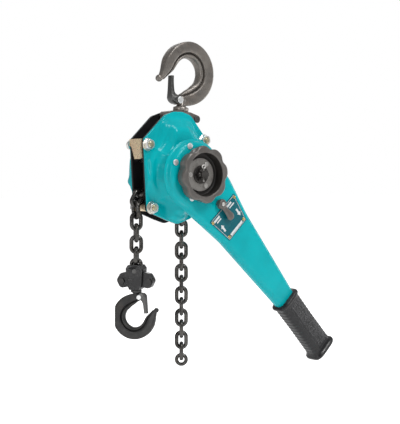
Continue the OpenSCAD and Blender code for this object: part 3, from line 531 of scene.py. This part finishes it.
def build_handwheel():
    """Lobed casting; the profile is (mean radius, share of the lobes' depth, y)."""
    low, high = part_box("handwheel")
    front, back = low.y / MM, high.y / MM
    mean = (high.x - low.x) / 2 / MM - LOBE_DEPTH
    profile = [(12, 0, back), (30, 0, back), (mean - 7, 0.5, back)]
    profile += [(mean - 7 + x, 0.7, back - 4 + y) for x, y in arc(5, 4, 90, 0, 5)][1:]
    profile += [(mean - 1.4, 0.9, back - 9), (mean - 0.6, 1.0, front + 9)]
    profile += [(mean - 3.6 + x, 1.0, front + 3.8 + y) for x, y in arc(3.8, 3.8, 0, -90, 7)]
    profile += [(40.5, 0.25, front + 0.5)]
    profile += [(39.3 + x, 0.05, front + 2.2 + y) for x, y in arc(2.2, 2.2, -90, -180, 6)]
    profile += [(36.6, 0, front + 8), (36.0, 0, -86)]
    profile += [(33.5 + x, 0, -85.6 + y) for x, y in arc(2.5, 2.5, 0, 90, 5)]
    profile += [(20, 0, -83.1), (12, 0, -83.1)]
    count = 320
    verts = []
    for r, share, y in profile:
        for i in range(count):
            a = 2 * math.pi * i / count
            wave = LOBES * (a - LOBE_TURN)
            radius = r + share * (LOBE_DEPTH * math.cos(wave) - 0.5 * math.cos(2 * wave))
            verts.append(on_shaft(radius * math.cos(a), y, radius * math.sin(a)))
    faces = ring_faces(len(profile), count, wrapped=True)
    piece = make_piece("handwheel_casting", verts, faces, "handwheel", WHEEL, ["handwheel"], 38)
    # The bore's inner wall takes the near-black casting colour as painted shade.
    piece.data.materials.append(BORE_SHADE)
    for polygon in piece.data.polygons:
        reach = polygon.center - SHAFT
        if math.hypot(reach.x, reach.z) / MM < WELL_R and front + 2.5 < polygon.center.y / MM < WELL_FLOOR:
            polygon.material_index = 1


# ---- hooks ----

# Radius from the bowl's centre by angle, in the hook's own mm: inner side, outer side, half the thickness
INNER = [(70, 31), (90, 21.5), (120, 17.2), (150, 17.2), (180, 17.5), (325, 17.3), (344, 17.9), (356, 18.9),
         (364, 20.5), (372, 24), (378, 29.5), (383, 36)]
OUTER_TOP = [(70, 41), (90, 40.5), (120, 40), (180, 39), (270, 38.2), (298, 36.4), (326, 35.6), (340, 35.6),
             (354, 35.2), (364, 35.8), (370, 37.4), (378, 41), (383, 43.5)]
OUTER_BOTTOM = [(70, 41), (90, 40.5), (120, 40), (180, 39.5), (270, 38.5), (305, 38), (330, 37.5), (348, 37.4),
                (360, 37.6), (368, 38.8), (376, 41.5), (383, 43.5)]
HALF = [(70, 4.6), (98, 4.9), (120, 6.4), (160, 7.6), (280, 7.8), (340, 6.6), (366, 4.8), (383, 3.2)]
BOWL, BOWL_R = (-2.5, -48), 17.5
TIP_R, TIP_ANGLE, TIP_BALL = 41.2, math.radians(18.5), 4.3
RIVET_AT, BOSS_R, BOSS_HALF = (7, -13), 5.4, 4.8
STEM = [(1.2, -19.5), (3.6, -19), (5.0, -17), (5.3, -14), (5.3, -8), (6.4, -6), (9.0, -5), (9.5, -4.4), (9.5, -1.0),
        (9.0, -0.4), (6.2, -0.4)]
# The latch's back from its rivet to the bend, then from the bend to its nose
TOP_HEEL = [(7.5, -7.9), (12.2, -8.2), (16.2, -10.6), (18.5, -14.2)]
BOTTOM_HEEL = [(7.5, -5.2), (13, -5.6), (17, -8.4), (18.8, -13)]
LATCH_BACK = [(19.3, -19), (20.2, -28), (20.9, -36), (21.2, -40.8)]

TOP_SCALE = 1.48
SWIVEL = Vector(JOINTS["top_hook_swivel"]["axis"])
LEAN = math.atan2(SWIVEL.x, SWIVEL.z)
BOTTOM_SEAT = Vector(MOUNTS["bottom_hook_seat"]["pos_m"])
BLOCK_AXIS = Vector(JOINTS["bottom_latch_pivot"]["axis"])
BLOCK_TURN = math.atan2(-BLOCK_AXIS.x, BLOCK_AXIS.y)


def in_top_hook(x, y, z):
    """From the hook's own mm, hanging down, to the frame, where it is turned over and leans."""
    a, b = -TOP_SCALE * (x - BOWL[0]), -TOP_SCALE * (z - BOWL[1] + BOWL_R)
    c, s = math.cos(LEAN), math.sin(LEAN)
    return Vector((a * c + b * s, TOP_SCALE * y, b * c - a * s)) * MM


def in_bottom_hook(x, y, z):
    """From the hook's own mm to the frame, where it is turned about its upright axis."""
    a, c, s = x - BOWL[0], math.cos(BLOCK_TURN), math.sin(BLOCK_TURN)
    return BOTTOM_SEAT + Vector((a * c - y * s, a * s + y * c, z - BOWL[1] + BOWL_R)) * MM


def smooth_table(table):
    """The table sampled every degree and softened, so that the forging has no creases."""
    xs = np.arange(table[0][0], table[-1][0] + 1)
    ys = np.interp(xs, [t[0] for t in table], [t[1] for t in table])
    for _ in range(60):
        ys[1:-1] = 0.5 * ys[1:-1] + 0.25 * (ys[:-2] + ys[2:])
    return xs, ys


def hook_section():
    """Section across the forging: -1 is the inner side, 1 the outer; half thickness beside it."""
    half = [(-1.0, 0.0), (-0.985, 0.3), (-0.94, 0.56), (-0.86, 0.76), (-0.76, 0.88), (-0.68, 0.9), (-0.6, 0.84),
            (-0.54, 0.68), (-0.5, 0.52), (-0.45, 0.43), (-0.39, 0.43), (-0.35, 0.52), (-0.325, 0.76), (-0.3, 0.93),
            (-0.25, 0.985), (0.1, 1.0), (0.5, 1.0), (0.8, 0.98), (0.9, 0.94), (0.96, 0.82), (0.99, 0.6), (1.0, 0.3),
            (1.0, 0.0)]
    return half + [(a, -b) for a, b in reversed(half[1:-1])]


def hook_body(place, outline, flat_at):
    """The forging swept round its bowl, with its back cut flat at x = flat_at."""
    tables = [smooth_table(t) for t in (INNER, outline, HALF)]
    section = hook_section()
    angles = range(70, 383, 2)
    verts = []
    for a in angles:
        r0, r1, t = [float(np.interp(a, xs, ys)) for xs, ys in tables]
        c, s = math.cos(math.radians(a)), math.sin(math.radians(a))
        for across, up in section:
            r = (r0 + r1) / 2 + (r1 - r0) / 2 * across
            verts.append(place(max(BOWL[0] + r * c, flat_at), t * up, BOWL[1] + r * s))
    return verts, closed_faces(len(angles), len(section))


def build_hook(name, node, body, place, material, outline, flat_at, head):
    """Forging, stem with its head (gap, thickness, radius) above the seat, ball tip and rivet boss."""
    gap, thick, radius = head
    tip = (BOWL[0] + TIP_R * math.cos(TIP_ANGLE), BOWL[1] + TIP_R * math.sin(TIP_ANGLE))
    stem = STEM + [(6.2, gap), (radius, gap), (radius, gap + thick), (2, gap + thick)]
    globe = [(TIP_BALL * math.sin(math.pi * i / 12), TIP_BALL * math.cos(math.pi * i / 12)) for i in range(1, 12)]
    boss = [(BOSS_R * 0.9, -BOSS_HALF), (BOSS_R, -BOSS_HALF + 0.5), (BOSS_R, BOSS_HALF - 0.5),
            (BOSS_R * 0.9, BOSS_HALF)]
    shapes = [hook_body(place, outline, flat_at), turned(stem, 40, place),
              turned(globe, 24, lambda x, y, z: place(tip[0] + x, y, tip[1] + z)),
              turned(boss, 36, lambda x, z, y: place(RIVET_AT[0] + x, y, RIVET_AT[1] + z))]
    verts, faces = joined(shapes)
    return make_piece(name, verts, faces, body, material, [node], 45)


def build_latch(name, node, body, place, heel, nose_depth):
    """Pressed channel that tapers from the rivet's eyes to its nose."""
    spine = heel + LATCH_BACK
    wide = [6.8, 6.8, 6.8, 6.6, 5.2, 4.4, 4.2, 4.2]
    deep = [3.0, 8.0, 12.5, 14.5, nose_depth + 1, nose_depth + 0.3, nose_depth, nose_depth]
    steps = 40
    t = np.linspace(0, len(spine) - 1, steps)
    knots = np.arange(len(spine))
    line = np.stack([np.interp(t, knots, [p[i] for p in spine]) for i in (0, 1)], 1)
    half, depth = np.interp(t, knots, wide), np.interp(t, knots, deep)
    for _ in range(4):
        for row in (line[:, 0], line[:, 1], half, depth):
            row[1:-1] = 0.5 * row[1:-1] + 0.25 * (row[:-2] + row[2:])
    run = np.gradient(line, axis=0)
    run /= np.linalg.norm(run, axis=1)[:, None]
    sheet, fold = 1.4, 1.8
    verts = []
    for p, d, w, h in zip(line, run, half, depth):
        h = max(h, fold + 0.4)
        section = [(-w, h)] + [(-w + fold + x, fold + y) for x, y in arc(fold, fold, 180, 270, 5)]
        section += [(w - fold + x, fold + y) for x, y in arc(fold, fold, 270, 360, 5)] + [(w, h)]
        section += [(w - sheet, h), (w - sheet, sheet), (-w + sheet, sheet), (-w + sheet, h)]
        verts += [place(p[0] + d[1] * n, y, p[1] - d[0] * n) for y, n in section]
    faces = closed_faces(steps, len(section))
    make_piece(name, verts, faces, body, LATCH, [node], 45)


# ---- grip ----

GRIP_START, GRIP_END, GRIP_MID = 312.0, 452.0, -69.0     # both ends along the lever and the y of its middle
GRIP_AT = [GRIP_START, GRIP_START + 1.5, GRIP_START + 5, GRIP_START + 8, GRIP_START + 60, GRIP_END - 14,
           GRIP_END - 9, GRIP_END - 6, GRIP_END - 2, GRIP_END]
GRIP_WIDE = [26.0, 27.5, 27.5, 24.6, 24.0, 24.6, 26.5, 29.0, 29.0, 26.5]
GRIP_TALL = [17.2, 18.5, 18.5, 16.6, 16.2, 16.6, 18.4, 21.0, 21.0, 18.6]
GRIP_SQUARE = 0.52                       # exponent of the rounded-square section
RIB_PITCH = 8.2


def build_grip():
    """Moulded sleeve with a groove, a pebbled panel sunk into its front, ribbed sides and a flange at each end."""
    steps, count = 150, 150
    verts = []
    for i in range(steps + 1):
        u = GRIP_START + (GRIP_END - GRIP_START) * i / steps
        wide, tall = np.interp(u, GRIP_AT, GRIP_WIDE), np.interp(u, GRIP_AT, GRIP_TALL)
        between = GRIP_START + 11 < u < GRIP_END - 17
        for k in range(count):
            a = 2 * math.pi * k / count
            c, s = math.cos(a), math.sin(a)
            v = wide * math.copysign(abs(c) ** GRIP_SQUARE, c)
            y = tall * math.copysign(abs(s) ** GRIP_SQUARE, s)
            shrink = 0.0
            if between and y < -0.55 * tall:
                shrink += 1.1 * math.exp(-(((v + 9.5) / 1.5) ** 2))
                if -6.5 < v < 20.5:
                    shrink += 0.55
            if between and abs(v) > 0.8 * wide:
                shrink += 0.55 * (0.5 - 0.5 * math.cos(2 * math.pi * (u - GRIP_START) / RIB_PITCH))
            f = 1 - shrink / math.hypot(v, y)
            verts.append(on_lever(u, GRIP_MID + y * f, v * f))
    faces = closed_faces(steps + 1, count)
    piece = make_piece("grip_rubber", verts, faces, "lever", GRIP, ["grip"], 50)
    piece.data.materials.append(PEBBLED)
    for polygon in piece.data.polygons:
        centre = polygon.center
        u = (centre - SHAFT).dot(ALONG) / MM
        v = (centre - SHAFT).dot(ACROSS) / MM
        if GRIP_START + 12 < u < GRIP_END - 18 and -6.8 < v < 21 and centre.y / MM < GRIP_MID - 10:
            polygon.material_index = 1


# ---- selector ----

SELECTOR_U = (SELECTOR - SHAFT).dot(ALONG) / MM
KNOB = [(6, -74.5), (6, -80.5), (8.6, -81), (9, -82), (9, -87.5), (8, -89.6), (5.4, -90.4)]
SCREW = [(0.6, -89), (3.4, -89), (3.4, -91.2), (2.6, -92.0), (1.4, -92.0), (1.1, -91.2), (0.4, -91.2)]


def build_selector():
    """Cast thumb lever: knob, arm and paddle, melted together as a casting, with a screw in the knob."""

    def on_knob(x, z, y):
        return on_lever(SELECTOR_U + x, y, z)

    steps, count = 14, 24
    arm = []
    for i in range(steps + 1):
        t = i / steps
        x = 2 + 33 * t
        w = np.interp(t, [0, 0.3, 0.6, 0.85, 1], [7.2, 5.2, 6.2, 8.2, 5.0])
        h = np.interp(t, [0, 0.3, 1], [3.6, 3.0, 2.6])
        y = np.interp(t, [0, 0.3, 1], [-85, -85.6, -86.2])
        for k in range(count):
            a = 2 * math.pi * k / count
            arm.append(on_knob(x, w * math.cos(a), y + h * math.sin(a)))
    verts, faces = joined([turned(KNOB, 32, on_knob), (arm, closed_faces(steps + 1, count))])
    piece = make_piece("selector_casting", verts, faces, "selector", WHEEL, ["selector_lever"], 60)
    melt = piece.modifiers.new("melt", "REMESH")
    melt.mode = "VOXEL"
    melt.voxel_size = 0.6 * MM
    melt.use_smooth_shade = True
    ease = piece.modifiers.new("ease", "SMOOTH")
    ease.iterations = 8
    verts, faces = turned(SCREW, 32, on_knob)
    make_piece("selector_screw", verts, faces, "selector", ZINC, (), 30)


# ---- studs, nuts, bolt heads and the plate's print ----

STAYS = ((-65.5, 52), (-57.4, -57.4), (57.8, 61.2), (54, -56))
STAY_R = 5.0
THREAD_FROM, THREAD_PITCH, THREAD_DEPTH = 29.0, 1.0, 0.45
NUT_FLATS, NUT_WASHER = 16.4, 1.7


def build_studs():
    """Threaded ends of the stays."""
    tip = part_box("stay_bolts")[1].y / MM
    half = [(STAY_R, 15), (STAY_R, THREAD_FROM)]
    y = THREAD_FROM
    while y < tip - 1.6:
        half += [(STAY_R, y), (STAY_R - THREAD_DEPTH, y + THREAD_DEPTH), (STAY_R, y + 2 * THREAD_DEPTH)]
        y += THREAD_PITCH
    half += [(STAY_R - 0.1, tip - 0.8), (STAY_R - 0.9, tip)]
    profile = [(r, -y) for r, y in reversed(half)] + half
    verts, faces = joined([turned(profile, 28, lambda a, b, y: on_shaft(x + a, y, z + b)) for x, z in STAYS])
    make_piece("stay_studs", verts, faces, "hoist_body", STUD, ["stay_bolts"], 30)


def build_nuts(name, node, side):
    """Washer and chamfered hexagon on each stay."""
    low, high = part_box(node)
    inner, outer = (high.y, low.y) if side < 0 else (low.y, high.y)
    inner, outer = inner / MM, outer / MM
    count = 72

    def hexagon(a):
        return NUT_FLATS / 2 / math.cos((a + math.pi / 6) % (math.pi / 3) - math.pi / 6)

    base = inner + side * NUT_WASHER
    rings = [(lambda a: STAY_R + 0.06, inner), (lambda a: 10.6, inner), (lambda a: 10.9, inner + side * 0.3),
             (lambda a: 10.9, base - side * 0.3), (lambda a: 10.6, base), (lambda a: hexagon(a) - 0.4, base),
             (hexagon, base + side * 0.5)]
    for rise in (2.0, 1.6, 1.2, 0.8, 0.4, 0.0):
        cone = NUT_FLATS / 2 - 0.35 + rise / math.tan(math.radians(30))
        rings.append((lambda a, cone=cone: min(hexagon(a), cone), outer - side * rise))
    rings += [(lambda a: STAY_R + 0.9, outer), (lambda a: STAY_R + 0.06, outer - side * 0.9)]
    shapes = []
    for index, (x, z) in enumerate(STAYS):
        verts = []
        for radius, y in rings:
            for k in range(count):
                a = 2 * math.pi * k / count
                r, b = radius(a), a + math.radians(17 + 31 * index)
                verts.append(on_shaft(x + r * math.cos(b), y, z + r * math.sin(b)))
        shapes.append((verts, ring_faces(len(rings), count, wrapped=True)))
    verts, faces = joined(shapes)
    make_piece(name, verts, faces, "hoist_body", ZINC, [node], 28)


def flat_block(corners, low, high):
    """Thin raised block on the lever's face from (u, v) corners."""
    verts = [on_lever(u, low, v) for u, v in corners] + [on_lever(u, high, v) for u, v in corners]
    n = len(corners)
    faces = [tuple(range(n)), tuple(range(n, 2 * n))]
    faces += [(k, (k + 1) % n, n + (k + 1) % n, n + k) for k in range(n)]
    return verts, faces


def build_print():
    """Plain bars and two direction arrows in place of lettering, and a thin line round the plate."""
    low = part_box("nameplate")[0].y / MM
    base, top = low + 0.02, low - 0.12
    bars = [[(126.5, -18), (131, -17), (131, 17), (126.5, 18)],
            [(84, 8), (88, 8), (88, 22), (84, 22)], [(90, 12), (92.5, 12), (92.5, 26), (90, 26)],
            [(84, -30), (88, -30), (88, -14), (84, -14)], [(90, -26), (92.5, -26), (92.5, -14), (90, -14)]]
    mid, shaft, barb = 109, 2, 4.4
    for v, way in ((22, 1), (-22, -1)):
        bars.append([(mid - 6 * way, v - shaft), (mid + 3 * way, v - shaft), (mid + 3 * way, v - barb),
                     (mid + 9 * way, v), (mid + 3 * way, v + barb), (mid + 3 * way, v + shaft),
                     (mid - 6 * way, v + shaft)])
    rim, half_line = [(81.2, 34.4), (132, 24.9), (132, -24.9), (81.2, -34.4)], 0.3
    for (u0, v0), (u1, v1) in zip(rim, rim[1:] + rim[:1]):
        length = math.hypot(u1 - u0, v1 - v0)
        nu, nv = -(v1 - v0) / length * half_line, (u1 - u0) / length * half_line
        bars.append([(u0 + nu, v0 + nv), (u1 + nu, v1 + nv), (u1 - nu, v1 - nv), (u0 - nu, v0 - nv)])
    verts, faces = joined([flat_block(b, base, top) for b in bars])
    make_piece("nameplate_print", verts, faces, "lever", PRINT, (), 30)


def build_bolt_heads():
    """Domed heads of the bolts that hold the lever's halves together, placed by angle and radius on its head."""
    profile = [(3.0, -59.9), (3.0, -77.9), (5.4, -78), (5.4, -78.6), (4.4, -79.0), (2.0, -79.15)]
    shapes = []
    for a, r in ((60, 42), (156.5, 51.5), (203.5, 51.5), (300, 42)):
        u, v = r * math.cos(math.radians(a)), r * math.sin(math.radians(a))
        shapes.append(turned(profile, 32, lambda du, dv, y: on_lever(u + du, y, v + dv)))
    verts, faces = joined(shapes)
    make_piece("lever_bolt_heads", verts, faces, "lever", BOLT, ["lever_bolts"], 35)


# ---- stage, lights and camera ----

FLOOR_DROP, FLOOR_HALF = 0.06, 14.0
BACKDROP_LIGHT = 0.3                     # what the floor and the world shed on the object
CAMERA_TURN, CAMERA_DISTANCE = math.radians(37), 1.8


def area_light(name, place, target, size, power):
    data = bpy.data.lights.new(name, "AREA")
    data.shape = "RECTANGLE"
    data.size, data.size_y = size
    data.energy = power
    light = bpy.data.objects.new(name, data)
    light.location = place
    light.rotation_euler = (Vector(target) - Vector(place)).to_track_quat("-Z", "Y").to_euler()
    bpy.context.scene.collection.objects.link(light)


def shown_or_lit(tree, socket, lit, shown):
    """Strength of a white backdrop: lit is what falls on the object, shown is what the camera sees."""
    seen = tree.nodes.new("ShaderNodeLightPath")
    level = tree.nodes.new("ShaderNodeMapRange")
    level.inputs["To Min"].default_value = lit
    level.inputs["To Max"].default_value = shown
    tree.links.new(seen.outputs["Is Camera Ray"], level.inputs["Value"])
    tree.links.new(level.outputs["Result"], socket)


def build_stage():
    depth, half = cad_low.z - FLOOR_DROP, FLOOR_HALF
    mesh = bpy.data.meshes.new("stage_floor")
    mesh.from_pydata([(-half, -half, depth), (half, -half, depth), (half, half, depth), (-half, half, depth)], [],
                     [(0, 1, 2, 3)])
    floor = bpy.data.objects.new("stage_floor", mesh)
    bpy.context.scene.collection.objects.link(floor)
    n = Nodes("stage_pale")
    n.finish(n.ramp(n.noise(3), (0.4, (0.93, 0.93, 0.93)), (0.6, (0.95, 0.95, 0.95))),
             n.ramp(n.noise(5), (0.4, 0.7), (0.6, 0.8)))
    n.shader.inputs["Emission Color"].default_value = (1, 1, 1, 1)
    shown_or_lit(n.tree, n.shader.inputs["Emission Strength"], BACKDROP_LIGHT, 0.8)
    mesh.materials.append(n.material)
    world = bpy.data.worlds.new("studio")
    world.use_nodes = True
    tree = world.node_tree
    glow = tree.nodes["Background"]
    glow.inputs["Color"].default_value = (1, 1, 1, 1)
    shown_or_lit(tree, glow.inputs["Strength"], BACKDROP_LIGHT, 1.0)
    bpy.context.scene.world = world
    aim = on_shaft(20, 0, -60)
    area_light("key", (0.1, -1.8, 1.2), aim, (0.6, 0.6), 18)
    area_light("left_strip", (-1.8, -0.7, 0.0), aim, (0.06, 1.4), 5)
    area_light("fill", (2.0, -0.5, -0.2), aim, (0.5, 1.2), 7)
    area_light("top", (0.1, -0.5, 1.5), aim, (0.7, 0.7), 10)
    area_light("rear", (0.8, 1.6, 0.4), aim, (1.2, 1.2), 8)


def build_camera():
    """The view is 37 degrees to the left of the front, level with the shaft."""
    data = bpy.data.cameras.new("camera")
    data.lens, data.sensor_width = 85.9, 36
    data.shift_x, data.shift_y = 0.0698, -0.0882
    camera = bpy.data.objects.new("camera", data)
    camera.location = SHAFT + Vector((-math.sin(CAMERA_TURN), -math.cos(CAMERA_TURN), 0)) * CAMERA_DISTANCE
    camera.rotation_euler = (math.pi / 2, 0, -CAMERA_TURN)
    bpy.context.scene.collection.objects.link(camera)
    bpy.context.scene.camera = camera


dress_cad()
pressed_cover("brake_cover_shell", "brake_cover", -1, 18.2, 36, 110)
pressed_cover("gear_cover_shell", "gear_cover", 1, 0.6, 0, 34)
build_lever()
build_handwheel()
build_hook("top_hook_forging", "top_hook", "top_hook", in_top_hook, TOP_FORGING, OUTER_TOP, -60,
           (3.9, 3.3, 7.2))
build_hook("bottom_hook_forging", "bottom_hook", "bottom_hook", in_bottom_hook, DARK_FORGING,
           OUTER_BOTTOM, -37, (9.4, 5.8, 9))
build_latch("top_latch_pressing", "top_latch", "top_latch", in_top_hook, TOP_HEEL, 3.4)
build_latch("bottom_latch_pressing", "bottom_latch", "bottom_latch", in_bottom_hook, BOTTOM_HEEL, 6.0)
build_grip()
build_selector()
build_studs()
build_nuts("stay_nuts_front_hex", "stay_nuts_front", -1)
build_nuts("stay_nuts_rear_hex", "stay_nuts_rear", 1)
build_print()
build_bolt_heads()
build_stage()
build_camera()
bpy.context.scene.view_settings.view_transform = "Standard"
